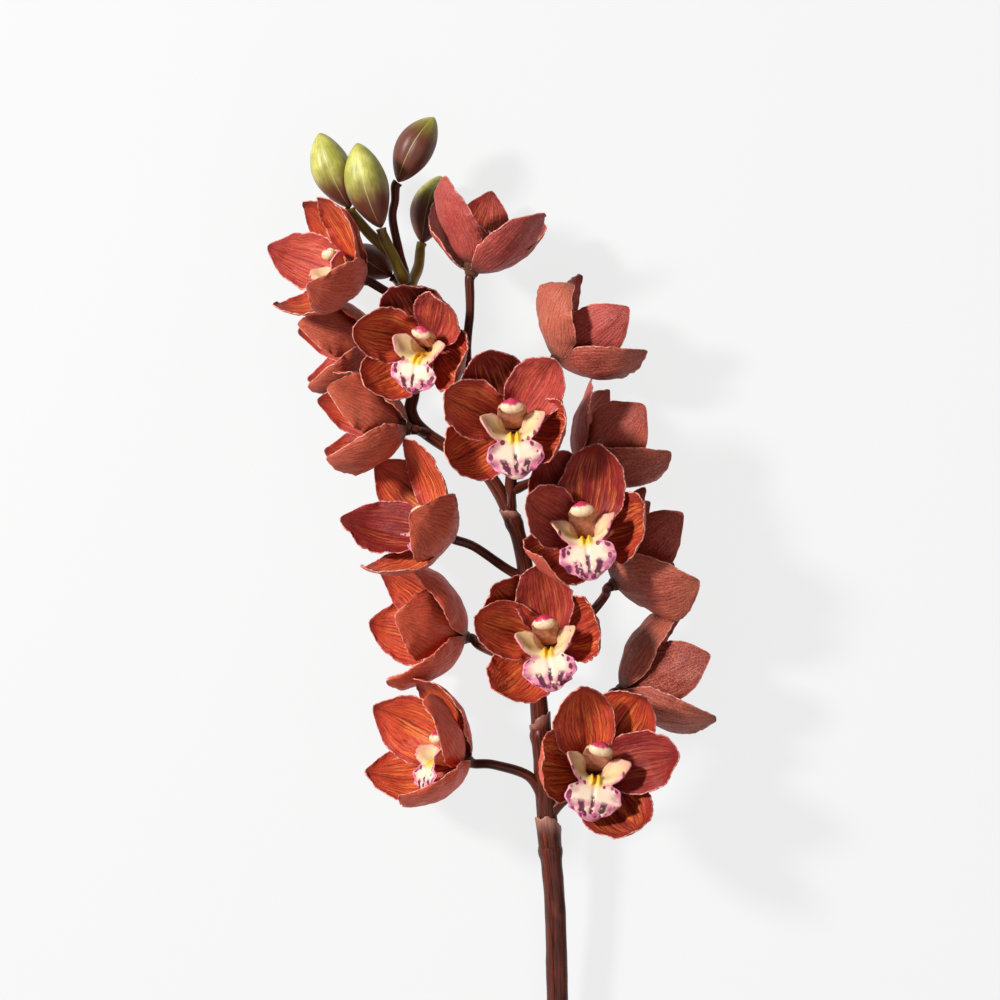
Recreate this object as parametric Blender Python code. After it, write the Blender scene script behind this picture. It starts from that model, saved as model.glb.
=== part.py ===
"""A cut stem of cymbidium orchid, laid on its back with its blooms upwards.

Metres, +Z up. X runs across the spray, Y along the stem towards its tip, and the stem lies on Z = 0.
The origin is the bottom centre of the spray's box. Places are read off the photograph as pixel columns
and rows with a height in millimetres, and seen() turns them into real ones.
"""

import math

import bmesh
import bpy
from mathutils import Matrix, Vector

MM = 0.001

# The photograph, taken as from straight above the laid stem
PIXEL = 0.55 * MM  # real size of one pixel at STEM_HEIGHT
STEM_HEIGHT = 46 * MM
VIEW_HEIGHT = 1800 * MM  # of the lens above the surface
VIEW_COLUMN, VIEW_ROW = 500, 500  # the pixel straight below the lens
ORIGIN_COLUMN, ORIGIN_ROW = 491, 703  # the pixel at the origin

# Blades: the sepals and petals
BLADE_THICKNESS = 0.9 * MM
BLADE_ROWS, BLADE_COLUMNS = 5, 4
CLAW = 0.15  # width where a blade leaves the hub, as a share of its full width
SEPAL = dict(length=56, width=39, lean=(86, 47, 8), cup=0.85, rise=-2.0)
PETAL = dict(length=54, width=34, lean=(68, 46, 16), cup=0.95, rise=1.2)
WHORLS = {
    "dorsal": dict(SEPAL, azimuth=91.3, rise=-2.2),
    "petal_left": dict(PETAL, azimuth=149.1),
    "petal_right": dict(PETAL, azimuth=31.7, rise=1.4),
    "sepal_left": dict(SEPAL, azimuth=212.9, rise=-2.3),
    "sepal_right": dict(SEPAL, azimuth=327.4),
}
PLAIN = dict(twist=0, sway=0, curl=0, opened=0)

# The hub that the blades stand on, the lip and the column
HUB_RADIUS = 5.0 * MM
HUB_FOOT_RADIUS = 3.2 * MM
HUB_TOP = 2.4 * MM
HUB_BOTTOM = -5.0 * MM
SEAT_GAP = 0.3 * MM
LIP_LENGTH = 47 * MM
LIP_SHARES = (0, 0.16, 0.3, 0.41, 0.5, 0.6, 0.73, 0.87, 1)
LIP_COLUMNS = 4
LIP_THICKNESS = 0.9 * MM
COLUMN_LENGTH = 27 * MM

BLOOM_LIST = [
    # name, (pixel column, row, height), (heading, tilt, turn), (size, opening, lip scale), changes to blades
    ("bloom_01", (358, 277, 54), (160, 28, 18), (1.0, -10, 0.76),
     dict(dorsal=dict(azimuth=96), petal_left=dict(azimuth=154), sepal_left=dict(azimuth=232, opened=-4),
          petal_right=dict(azimuth=44, twist=35), sepal_right=dict(azimuth=304, width=41, opened=-3))),
    ("bloom_02", (376, 347, 24.6), (182, 4, 5), (0.94, -17, 0.62),
     dict(petal_right=dict(azimuth=24, twist=-12), sepal_left=dict(opened=-2),
          sepal_right=dict(azimuth=304, opened=-1))),
    ("bloom_03", (431, 345, 60), (195, 72, -12), (0.96, -9, 0.80),
     dict(dorsal=dict(azimuth=114, width=42), petal_right=dict(azimuth=66), petal_left=dict(azimuth=172),
          sepal_left=dict(azimuth=230), sepal_right=dict(azimuth=346, opened=-6))),
    ("bloom_04", (402, 428, 55), (172, 6, 5), (0.98, -16, 0.62),
     dict(dorsal=dict(opened=-6), petal_left=dict(opened=-9),
          petal_right=dict(azimuth=26, twist=-12, width=36), sepal_right=dict(azimuth=304))),
    ("bloom_05", (513, 427, 78), (90, 86, 4), (1.0, 0, 0.94),
     dict(dorsal=dict(azimuth=111), petal_right=dict(azimuth=53), petal_left=dict(azimuth=156),
          sepal_left=dict(azimuth=208), sepal_right=dict(azimuth=344, opened=-20))),
    ("bloom_06", (473, 267, 50), (76, 0, -30), (1.0, -10, 0.70),
     dict(dorsal=dict(azimuth=76), petal_left=dict(azimuth=158, width=38), petal_right=dict(opened=-6),
          sepal_left=dict(azimuth=262, opened=-4, curl=50))),
    ("bloom_07", (560, 357, 37), (40, -6, 20), (0.98, -9, 0.66),
     dict(dorsal=dict(azimuth=108, width=43, opened=18, curl=-60), petal_left=dict(azimuth=162))),
    ("bloom_08", (586, 467, 41), (42, -6, 6), (1.0, -8, 0.70),
     dict(dorsal=dict(azimuth=76, length=53, opened=-8, curl=36), petal_left=dict(width=40, azimuth=162))),
    ("bloom_09", (445, 534, 52), (150, 32, 50), (1.08, -8, 0.72),
     dict(petal_right=dict(azimuth=43, width=30), sepal_right=dict(azimuth=295, width=42, opened=-9))),
    ("bloom_10", (587, 538, 72), (108, 72, 8), (1.06, 0, 0.94),
     dict(dorsal=dict(azimuth=110), petal_right=dict(azimuth=71, width=37), petal_left=dict(azimuth=156, opened=-16),
          sepal_left=dict(azimuth=219, opened=-10, curl=-30), sepal_right=dict(azimuth=354, opened=-14))),
    ("bloom_11", (619, 581, 48), (33, -10, 10), (1.04, -8, 0.70),
     dict(sepal_left=dict(azimuth=192, width=46, cup=0.6, opened=16), petal_left=dict(azimuth=142))),
    ("bloom_12", (460, 636, 22.4), (167, 18, -28), (1.10, -14, 0.62),
     dict(every=dict(cup=0.98, width=41), sepal_right=dict(opened=4))),
    ("bloom_13", (551, 643, 57), (130, 78, 8), (1.0, -2, 0.90),
     dict(dorsal=dict(azimuth=127), petal_right=dict(azimuth=86), petal_left=dict(azimuth=159),
          sepal_left=dict(azimuth=224), sepal_right=dict(azimuth=10, opened=-14))),
    ("bloom_14", (626, 689, 39.1), (18, -6, 20), (1.06, -10, 0.70), {}),
    ("bloom_15", (463, 760, 44), (160, 28, 3), (1.08, -12, 0.76),
     dict(every=dict(cup=1.05, width=39), petal_right=dict(azimuth=36), sepal_right=dict(azimuth=298))),
    ("bloom_16", (592, 770, 60), (60, 78, -10), (1.08, 0, 0.94),
     dict(dorsal=dict(azimuth=68), petal_left=dict(azimuth=115), petal_right=dict(azimuth=15),
          sepal_left=dict(azimuth=188, opened=-16), sepal_right=dict(azimuth=306, opened=-4))),
]

# Buds: foot and tip in the photograph with their heights, and half of the thickness
BUD_LIST = [
    ("bud_1", (350, 208, 50), (319, 133, 56), 11.0),
    ("bud_2", (381, 228, 62), (357, 143, 72), 11.5),
    ("bud_3", (398, 182, 46), (434, 117, 50), 10.5),
    ("bud_4", (422, 243, 25), (441, 176, 14), 10.5),
    ("bud_5", (392, 276, 30), (354, 246, 26), 9.0),
]

# Stems: a path of (pixel column, row, height, radius), lowest first, thicker where a sheath wraps a joint
STEM_SIDES = 8
STALK_SIDES = 5
MAIN_STEM = [
    (566, 1270, 6.2, 6.4), (558, 1000, 21, 6.0), (555, 900, 28, 5.8), (550, 845, 32, 5.7), (549, 840, 32.4, 7.0),
    (547, 815, 34, 6.6), (546, 811, 34.3, 5.6), (543, 760, 38, 5.3), (541, 740, 39.2, 5.1), (541, 736, 39.4, 6.1),
    (540, 716, 40.2, 5.8), (540, 713, 40.4, 4.9), (533, 620, 43, 4.6), (524, 560, 45, 4.4), (513, 520, 46, 4.3), (490, 477, 46, 3.9),
    (460, 455, 46, 3.6), (425, 432, 46, 3.5), (411, 412, 46, 3.5), (414, 388, 46, 3.4), (410, 340, 46, 3.3),
    (405, 300, 46, 3.2), (403, 270, 46, 3.2),
]
STALKS = {
    "bloom_01": [(405, 302, 46, 2.4), (382, 289, 50, 2.4)],
    "bloom_02": [(411, 360, 45, 2.4), (396, 352, 30, 2.4)],
    "bloom_03": [(412, 372, 46, 2.4), (429, 358, 50, 2.4)],
    "bloom_04": [(428, 434, 46, 2.4), (416, 430, 53, 2.4)],
    "bloom_05": [(509, 512, 46, 3.4), (511, 480, 48, 3.2), (513, 446, 58, 2.9)],
    "bloom_06": [(513, 466, 50, 2.6), (492, 420, 46, 2.5), (468, 366, 44, 2.5), (470, 310, 47, 2.4)],
    "bloom_07": [(514, 452, 50, 2.6), (535, 410, 44, 2.5), (552, 376, 42, 2.4)],
    "bloom_08": [(512, 490, 47, 2.6), (545, 478, 43, 2.5)],
    "bloom_09": [(526, 580, 44, 2.8), (504, 567, 46, 2.6), (475, 547, 46, 2.5)],
    "bloom_10": [(519, 545, 45, 2.8), (552, 542, 49, 2.6), (580, 545, 57, 2.5)],
    "bloom_11": [(537, 675, 42, 2.8), (566, 642, 42, 2.6), (602, 600, 44, 2.5)],
    "bloom_12": [(536, 655, 42, 2.8), (505, 655, 34, 2.6), (480, 646, 25, 2.5)],
    "bloom_13": [(537, 690, 42, 3.0), (542, 670, 43, 2.8), (549, 654, 46, 2.6)],
    "bloom_14": [(543, 742, 39, 2.8), (585, 715, 40, 2.6), (610, 698, 42, 2.5)],
    "bloom_15": [(546, 806, 35, 3.2), (530, 777, 38, 2.8), (495, 765, 42, 2.6)],
    "bloom_16": [(547, 816, 34, 3.2), (568, 796, 39, 2.8), (585, 781, 45, 2.6)],
    "bud_1": [(404, 280, 46, 2.4), (390, 255, 47, 2.3), (368, 232, 49, 2.3)],
    "bud_2": [(405, 282, 48, 2.4), (396, 262, 54, 2.3), (386, 242, 59, 2.3)],
    "bud_3": [(405, 276, 46, 2.4), (393, 222, 46, 2.3), (395, 200, 46, 2.3)],
    "bud_4": [(408, 290, 45, 2.4), (418, 268, 32, 2.3)],
    "bud_5": [(404, 292, 44, 2.4), (399, 284, 36, 2.3)],
}


def seen(column, row, height):
    """The point at a height in millimetres that the photograph shows at a pixel."""
    nearer = (VIEW_HEIGHT - height * MM) / (VIEW_HEIGHT - STEM_HEIGHT)
    across = VIEW_COLUMN - ORIGIN_COLUMN + (column - VIEW_COLUMN) * nearer
    along = ORIGIN_ROW - VIEW_ROW - (row - VIEW_ROW) * nearer
    return Vector((across * PIXEL, along * PIXEL, height * MM))


def smooth(share):
    share = min(max(share, 0.0), 1.0)
    return share * share * (3 - 2 * share)


def between(knots, share):
    """A value read from (place, value) knots, easing from each to the next."""
    for (start, low), (end, high) in zip(knots, knots[1:]):
        if share <= end:
            return low + (high - low) * smooth((share - start) / (end - start))
    return knots[-1][1]


def quadratic(ends, share):
    """A curve through three values, at shares 0, one half and 1."""
    first, middle, last = ends
    slope = 4 * middle - 3 * first - last
    return first + slope * share + (last - first - slope) * share * share


def facing(heading, tilt, turn):
    """A bloom's pose: heading across the photograph, tilt up to the lens, and turn about its own axis."""
    h, t = math.radians(heading), math.radians(tilt)
    axis = Vector((math.cos(h) * math.cos(t), math.sin(h) * math.cos(t), math.sin(t)))
    up = Vector((0, 1, 0))
    dorsal = (up - axis * up.dot(axis)).normalized()
    across = dorsal.cross(axis)
    pose = Matrix((across, dorsal, axis)).transposed()
    return pose @ Matrix.Rotation(math.radians(turn), 3, "Z")


def midrib(blade, shares):
    """(point, ahead, side, inner) of a blade at each share of its length, from the hub to the tip."""
    azimuth = math.radians(blade["azimuth"])
    radial = Vector((math.cos(azimuth), math.sin(azimuth), 0))
    around = Vector((-math.sin(azimuth), math.cos(azimuth), 0))
    axis = Vector((0, 0, 1))
    point = radial * (HUB_RADIUS - 3.0 * MM) + axis * blade["rise"] * MM
    found = []
    share = 0
    for target in shares:
        steps = 10
        for step in range(steps + 1):
            now = share + (target - share) * step / steps
            lean = math.radians(quadratic(blade["lean"], now) + blade["curl"] * smooth((now - 0.6) / 0.4))
            sway = math.radians(blade["sway"] * now)
            out = radial * math.sin(lean) + axis * math.cos(lean)
            ahead = out * math.cos(sway) + around * math.sin(sway)
            if step < steps:
                point = point + ahead * (blade["length"] * MM * (target - share) / steps)
        side = around * math.cos(sway) - out * math.sin(sway)
        side = Matrix.Rotation(math.radians(blade["twist"] * target), 3, ahead) @ side
        found.append((point.copy(), ahead, side, ahead.cross(side)))
        share = target
    return found


def half_width(blade, share):
    body = math.sin(math.pi * share**0.90) ** 0.64 if 0 < share < 1 else 0
    return blade["width"] * MM / 2 * max(body, CLAW * (1 - share))


def blade_mesh(blade, rows, columns):
    bm = bmesh.new()
    bmesh.ops.create_grid(bm, x_segments=columns, y_segments=rows, size=1)
    shares = [1 - (1 - row / rows) ** 1.35 for row in range(rows + 1)]
    frames = midrib(blade, shares)
    for vertex in bm.verts:
        row, across = round((vertex.co.y + 1) / 2 * rows), vertex.co.x
        point, ahead, side, inner = frames[row]
        half = max(half_width(blade, shares[row]), 0.01 * MM)
        reach = max(math.hypot(point.x, point.y), 16 * MM)
        bend = min(max(blade["cup"] * half / reach, 0.02), 1.2)
        sideways = half / bend * math.sin(bend * across)
        inwards = half / bend * (1 - math.cos(bend * across))
        vertex.co = point + side * sideways + inner * inwards
    bmesh.ops.remove_doubles(bm, verts=bm.verts, dist=0.1 * MM)
    bmesh.ops.triangulate(bm, faces=bm.faces)
    return bm


def blades_of(size, opening, changes):
    """The five blades of a bloom, each with its size and its lean away from the bloom's axis."""
    made = {}
    for name, blade in WHORLS.items():
        blade = {**PLAIN, **blade, **changes.get("every", {}), **changes.get(name, {})}
        opened = opening + blade["opened"]
        first, middle, last = blade["lean"]
        blade["lean"] = (first + opened * 0.4, middle + opened, last + opened)
        blade["length"] *= size
        blade["width"] *= size
        made[name] = blade
    return made


LIP_LEAN = [(0, 14), (0.36, 6), (0.50, 64), (0.64, 84), (0.82, 98), (1, 140)]
LIP_HALF = [(0, 3.5), (0.16, 9), (0.30, 18), (0.38, 20), (0.44, 16), (0.50, 8.5), (0.60, 16.5), (0.74, 16.5),
            (0.87, 11), (1, 4)]
LIP_BEND = [(0, 60), (0.28, 68), (0.44, 64), (0.50, 30), (0.64, 6), (1, -36)]


def lip_mesh(shares, columns, scale):
    """The lip: a trough with a lobe on each side, then a lobe in front that spreads and turns down."""
    bm = bmesh.new()
    rows = len(shares) - 1
    bmesh.ops.create_grid(bm, x_segments=columns, y_segments=rows, size=1)
    steps = 200
    point = Vector((0, -3.6 * MM, HUB_TOP + SEAT_GAP + 0.15 * MM))
    path = []
    for step in range(steps + 1):
        lean = math.radians(between(LIP_LEAN, step / steps))
        path.append((point.copy(), Vector((0, math.cos(lean), math.sin(lean)))))
        point += Vector((0, -math.sin(lean), math.cos(lean))) * (LIP_LENGTH * scale / steps)
    for vertex in bm.verts:
        share, across = shares[round((vertex.co.y + 1) / 2 * rows)], vertex.co.x
        point, inner = path[round(share * steps)]
        half = between(LIP_HALF, share) * MM * scale
        bend = math.radians(between(LIP_BEND, share)) or 0.02
        sideways = half / bend * math.sin(bend * across)
        inwards = half / bend * (1 - math.cos(bend * across))
        vertex.co = point + Vector((sideways, 0, 0)) + inner * inwards
    bmesh.ops.triangulate(bm, faces=bm.faces)
    return bm


COLUMN_LEAN = [(0, 14), (0.45, 38), (0.75, 24), (1, -40)]
COLUMN_HALF = [(0, 3.4), (0.15, 7.0), (0.5, 8.6), (0.8, 8.2), (0.94, 6.2), (1, 2.4)]
COLUMN_THICK = [(0, 2.4), (0.5, 2.6), (0.8, 3.4), (1, 1.6)]


def column_mesh(segments, rings, scale):
    """The column: arched over the lip, flat below, with the anther cap as its blunt tip."""
    bm = bmesh.new()
    bmesh.ops.create_uvsphere(bm, u_segments=segments, v_segments=rings, radius=1)
    steps = 60
    point = Vector((0, -0.8 * MM, HUB_TOP + SEAT_GAP))
    spine = []
    for step in range(steps + 1):
        lean = math.radians(between(COLUMN_LEAN, step / steps))
        spine.append((point.copy(), Vector((0, math.cos(lean), -math.sin(lean)))))
        point = point + Vector((0, math.sin(lean), math.cos(lean))) * (COLUMN_LENGTH * scale / steps)
    for vertex in bm.verts:
        share = math.acos(max(-1, min(1, -vertex.co.z))) / math.pi
        at, back = spine[round(share * steps)]
        ring = math.hypot(vertex.co.x, vertex.co.y)
        x, y = (vertex.co.x / ring, vertex.co.y / ring) if ring > 1e-6 else (0, 0)
        half = between(COLUMN_HALF, share) * MM * scale
        thick = between(COLUMN_THICK, share) * MM * scale
        vertex.co = at + Vector((x * half, 0, 0)) + back * (y * thick * (1 if y > 0 else 0.35))
    bmesh.ops.recalc_face_normals(bm, faces=bm.faces)
    return bm


def hub_mesh():
    """The hub: the top of the seed vessel, narrow at its foot where the stalk meets it."""
    bm = bmesh.new()
    bmesh.ops.create_cone(bm, segments=7, cap_ends=True, radius1=HUB_FOOT_RADIUS, radius2=HUB_RADIUS,
                          depth=HUB_TOP - HUB_BOTTOM)
    bmesh.ops.translate(bm, verts=bm.verts, vec=(0, 0, (HUB_TOP + HUB_BOTTOM) / 2))
    return bm


def tube_mesh(path, sides):
    """A round stem through the points of a path, each with a radius."""
    bm = bmesh.new()
    rings = []
    for index, (point, radius) in enumerate(path):
        before = path[max(index - 1, 0)][0]
        after = path[min(index + 1, len(path) - 1)][0]
        turned = (after - before).normalized().to_track_quat("Z", "Y").to_matrix().to_4x4()
        made = bmesh.ops.create_circle(bm, segments=sides, radius=radius, matrix=Matrix.Translation(point) @ turned)
        rings.append(made["verts"])
    for lower, upper in zip(rings, rings[1:]):
        start = min(range(sides), key=lambda turn: (upper[turn].co - lower[0].co).length)
        for side in range(sides):
            one, two = side, (side + 1) % sides
            bm.faces.new((lower[one], lower[two], upper[(two + start) % sides], upper[(one + start) % sides]))
    bm.faces.new(rings[0][::-1])
    bm.faces.new(rings[-1])
    bmesh.ops.recalc_face_normals(bm, faces=bm.faces)
    return bm


def bud_mesh(foot, tip, half, segments, rings):
    """A closed bud: fullest a little above its middle, with a blunt point and a narrow foot."""
    bm = bmesh.new()
    bmesh.ops.create_uvsphere(bm, u_segments=segments, v_segments=rings, radius=1)
    along = tip - foot
    for vertex in bm.verts:
        share = (1 - math.cos(math.acos(max(-1, min(1, -vertex.co.z))))) / 2
        ring = math.hypot(vertex.co.x, vertex.co.y)
        thick = half * math.sin(math.pi * share**0.92) ** 0.78 if 0 < share < 1 else 0
        x, y = (vertex.co.x / ring, vertex.co.y / ring) if ring > 1e-6 else (0, 0)
        vertex.co = Vector((x * thick, y * thick, share * along.length))
    pose = Matrix.Translation(foot) @ along.to_track_quat("Z", "Y").to_matrix().to_4x4()
    bmesh.ops.transform(bm, matrix=pose, verts=bm.verts)
    bmesh.ops.recalc_face_normals(bm, faces=bm.faces)
    return bm


def material(name, colour, roughness):
    made = bpy.data.materials.new(name)
    made.use_nodes = True
    shader = made.node_tree.nodes["Principled BSDF"]
    shader.inputs["Base Color"].default_value = (*colour, 1)
    shader.inputs["Roughness"].default_value = roughness
    return made


def object_of(name, bm, look=None):
    mesh = bpy.data.meshes.new(name)
    bm.to_mesh(mesh)
    bm.free()
    made = bpy.data.objects.new(name, mesh)
    bpy.context.scene.collection.objects.link(made)
    if look:
        mesh.materials.append(look)
    return made


def apply_modifiers(made):
    bpy.context.view_layer.update()
    graph = bpy.context.evaluated_depsgraph_get()
    mesh = bpy.data.meshes.new_from_object(made.evaluated_get(graph))
    made.modifiers.clear()
    made.data = mesh


def thickened(made, thickness, offset):
    solid = made.modifiers.new("thickness", "SOLIDIFY")
    solid.thickness = thickness
    solid.offset = offset
    solid.use_even_offset = False
    apply_modifiers(made)


def fused(main, others):
    """Joins other solids to the main one by a Boolean union, and removes them."""
    group = bpy.data.collections.new(main.name + "_repeats")
    bpy.context.scene.collection.children.link(group)
    for other in others:
        bpy.context.scene.collection.objects.unlink(other)
        group.objects.link(other)
    union = main.modifiers.new("union", "BOOLEAN")
    union.operation = "UNION"
    union.operand_type = "COLLECTION"
    union.collection = group
    union.solver = "EXACT"
    union.use_self = True
    apply_modifiers(main)
    for other in others:
        bpy.data.objects.remove(other)
    bpy.data.collections.remove(group)


def cut_at_surface(made):
    """Cuts the solid off at Z = 0, which leaves a flat spot where it rests."""
    lowest = min((made.matrix_world @ vertex.co).z for vertex in made.data.vertices)
    if lowest >= 0:
        return
    bm = bmesh.new()
    bmesh.ops.create_cube(bm, size=1)
    slab = object_of(made.name + "_surface", bm)
    slab.location.z = -0.5
    cut = made.modifiers.new("flat spot", "BOOLEAN")
    cut.operation = "DIFFERENCE"
    cut.object = slab
    cut.solver = "EXACT"
    apply_modifiers(made)
    bpy.data.objects.remove(slab)


def bloom(entry, looks):
    name, place, pointed, (size, opening, lip_scale), changes = entry
    pose = Matrix.Translation(seen(*place)) @ facing(*pointed).to_4x4()
    tepals = object_of(name + "_tepals", hub_mesh(), looks["tepal"])
    others = []
    for blade_name, blade in blades_of(size, opening, changes).items():
        made = object_of(f"{name}_{blade_name}", blade_mesh(blade, BLADE_ROWS, BLADE_COLUMNS), looks["tepal"])
        thickened(made, BLADE_THICKNESS, -1)
        others.append(made)
    fused(tepals, others)
    tepals.matrix_world = pose
    bpy.context.view_layer.update()
    cut_at_surface(tepals)
    lip = object_of(name + "_lip", lip_mesh(LIP_SHARES, LIP_COLUMNS, lip_scale), looks["lip"])
    thickened(lip, LIP_THICKNESS, -1)
    lip.matrix_world = pose
    column = object_of(name + "_column", column_mesh(8, 5, lip_scale), looks["column"])
    column.matrix_world = pose


def stalk_path(name, end, ahead):
    """A stalk from the stem to the foot of a bloom or a bud, which it meets end on."""
    path = [(seen(*knot[:3]), knot[3] * MM) for knot in STALKS[name]]
    return path + [(end - ahead * 3 * MM, 2.6 * MM), (end - ahead * SEAT_GAP, 2.9 * MM)]


def stem(looks):
    path = [(seen(*knot[:3]), knot[3] * MM) for knot in MAIN_STEM]
    main = object_of("stem", tube_mesh(path, STEM_SIDES), looks["stem"])
    others = []
    for name, place, pointed, sizes, changes in BLOOM_LIST:
        ahead = facing(*pointed).col[2]
        end = seen(*place) + ahead * HUB_BOTTOM
        others.append(object_of(name + "_stalk", tube_mesh(stalk_path(name, end, ahead), STALK_SIDES)))
    for name, foot, tip, half in BUD_LIST:
        ahead = (seen(*tip) - seen(*foot)).normalized()
        others.append(object_of(name + "_stalk", tube_mesh(stalk_path(name, seen(*foot), ahead), STALK_SIDES)))
    fused(main, others)
    cut_at_surface(main)


def main():
    for item in list(bpy.data.objects):
        bpy.data.objects.remove(item)
    looks = {
        "tepal": material("tepal", (0.42, 0.07, 0.03), 0.45),
        "lip": material("lip", (0.86, 0.74, 0.52), 0.4),
        "column": material("column", (0.80, 0.62, 0.40), 0.4),
        "stem": material("stem", (0.16, 0.05, 0.03), 0.5),
        "bud": material("bud", (0.38, 0.33, 0.06), 0.45),
    }
    for entry in BLOOM_LIST:
        bloom(entry, looks)
    for name, foot, tip, half in BUD_LIST:
        object_of(name, bud_mesh(seen(*foot), seen(*tip), half * MM, 8, 7), looks["bud"])
    stem(looks)
    for made in bpy.data.objects:
        made.data.shade_smooth()


main()
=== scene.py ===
from math import acos, atan2, copysign, cos, exp, hypot, pi, radians, sin

import bmesh
import bpy
from mathutils import Matrix, Vector, noise


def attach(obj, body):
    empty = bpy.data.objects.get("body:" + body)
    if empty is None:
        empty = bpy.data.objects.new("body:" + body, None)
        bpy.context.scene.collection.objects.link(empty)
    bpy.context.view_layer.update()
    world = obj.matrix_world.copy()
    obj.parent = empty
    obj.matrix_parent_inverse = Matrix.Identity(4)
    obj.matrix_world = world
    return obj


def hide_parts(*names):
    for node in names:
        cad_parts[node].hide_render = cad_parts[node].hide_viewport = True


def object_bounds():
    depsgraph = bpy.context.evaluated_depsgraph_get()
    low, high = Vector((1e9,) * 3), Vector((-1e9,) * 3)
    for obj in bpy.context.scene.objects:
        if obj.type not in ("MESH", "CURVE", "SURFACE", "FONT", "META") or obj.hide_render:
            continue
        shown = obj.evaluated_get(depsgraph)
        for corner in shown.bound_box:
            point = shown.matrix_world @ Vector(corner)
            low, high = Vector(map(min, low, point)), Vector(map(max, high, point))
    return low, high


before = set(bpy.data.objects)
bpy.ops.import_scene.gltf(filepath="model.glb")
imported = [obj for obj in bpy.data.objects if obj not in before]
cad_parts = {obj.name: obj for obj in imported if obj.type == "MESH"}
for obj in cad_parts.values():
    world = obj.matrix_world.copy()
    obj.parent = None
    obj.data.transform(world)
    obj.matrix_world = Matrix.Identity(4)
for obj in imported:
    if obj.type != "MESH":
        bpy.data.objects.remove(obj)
cad_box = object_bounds()

# The stem: one flower stalk that forks behind the blooms, with a short stalk to each bloom and bud and papery
# sheaths round its joints. It grew as one piece, so its branches are sunk into one another. Its places are
# read off the photograph as pixel columns and rows, with heights and radii in millimetres.
MM = 0.001
PIXEL = 0.55 * MM
STEM_HEIGHT = 46 * MM
VIEW_HEIGHT = 1800 * MM
VIEW_COLUMN, VIEW_ROW = 500, 500
ORIGIN_COLUMN, ORIGIN_ROW = 491, 703
HUB_BOTTOM = -5.0 * MM
SEAT_GAP = 0.3 * MM
NECK = 3
NECK_RADIUS = 2.6
STALK_TOP_RADIUS = 2.9
MAIN_TUBE = dict(sides=28, rings=260, ribs=5)
STALK_TUBE = dict(sides=18, rings=30, ribs=6)
MEASURED_RINGS = 200
RIB_DEPTH = 0.035
KNOB_HEIGHT, KNOB_LENGTH = 0.05, 7 * MM
JOINT_SWELLING, JOINT_REACH = 0.22, 3.5 * MM
GREEN_STALKS = ("bud_1", "bud_2", "bud_4")
GREEN_STALK_GROWTH = 1.3
GREEN_STALK_FRESHNESS = 0.9
SHEATH_SIDES, SHEATH_RINGS = 30, 8
SHEATH_WALL, SHEATH_GAP = 0.5 * MM, 0.25 * MM

MAIN_STEM = [
    (566, 1270, 6.2, 6.4), (563, 1150, 13, 6.2), (558, 1000, 21, 6.0), (555, 900, 28, 5.8),
    (549, 835, 32.5, 5.8), (546, 800, 35, 5.5), (543, 760, 38, 5.3), (541, 730, 39.5, 5.2),
    (538, 690, 41, 4.8), (533, 620, 43, 4.6), (524, 560, 45, 4.4), (513, 520, 46, 4.3),
    (490, 477, 46, 3.9), (460, 455, 46, 3.6), (425, 432, 46, 3.5), (411, 412, 46, 3.5),
    (414, 388, 46, 3.4), (410, 340, 46, 3.3), (405, 300, 46, 3.2), (403, 270, 46, 3.2),
]
STALKS = {
    "bloom_01": [(405, 302, 46, 2.4), (382, 289, 50, 2.4)],
    "bloom_02": [(411, 360, 45, 2.4), (396, 352, 30, 2.4)],
    "bloom_03": [(412, 372, 46, 2.4), (429, 358, 50, 2.4)],
    "bloom_04": [(428, 434, 46, 2.4), (416, 430, 53, 2.4)],
    "bloom_05": [(509, 512, 46, 3.4), (511, 480, 48, 3.2), (513, 446, 58, 2.9)],
    "bloom_06": [(513, 466, 50, 2.6), (492, 420, 46, 2.5), (468, 366, 44, 2.5), (470, 310, 47, 2.4)],
    "bloom_07": [(514, 452, 50, 2.6), (535, 410, 44, 2.5), (552, 376, 42, 2.4)],
    "bloom_08": [(512, 490, 47, 2.6), (545, 478, 43, 2.5)],
    "bloom_09": [(526, 580, 44, 2.8), (504, 567, 46, 2.6), (475, 547, 46, 2.5)],
    "bloom_10": [(519, 545, 45, 2.8), (552, 542, 49, 2.6), (580, 545, 57, 2.5)],
    "bloom_11": [(537, 675, 42, 2.8), (566, 642, 42, 2.6), (602, 600, 44, 2.5)],
    "bloom_12": [(536, 655, 42, 2.8), (505, 655, 34, 2.6), (480, 646, 25, 2.5)],
    "bloom_13": [(537, 690, 42, 3.0), (542, 670, 43, 2.8), (549, 654, 46, 2.6)],
    "bloom_14": [(543, 742, 39, 2.8), (585, 715, 40, 2.6), (610, 698, 42, 2.5)],
    "bloom_15": [(546, 806, 35, 3.2), (530, 777, 38, 2.8), (495, 765, 42, 2.6)],
    "bloom_16": [(547, 816, 34, 3.2), (568, 796, 39, 2.8), (585, 781, 45, 2.6)],
    "bud_1": [(404, 280, 46, 2.4), (390, 255, 47, 2.3), (368, 232, 49, 2.3)],
    "bud_2": [(405, 282, 48, 2.4), (396, 262, 54, 2.3), (386, 242, 59, 2.3)],
    "bud_3": [(405, 276, 46, 2.4), (393, 222, 46, 2.3), (395, 200, 46, 2.3)],
    "bud_4": [(408, 290, 45, 2.4), (418, 268, 32, 2.3)],
    "bud_5": [(404, 292, 44, 2.4), (399, 284, 36, 2.3)],
}
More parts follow.
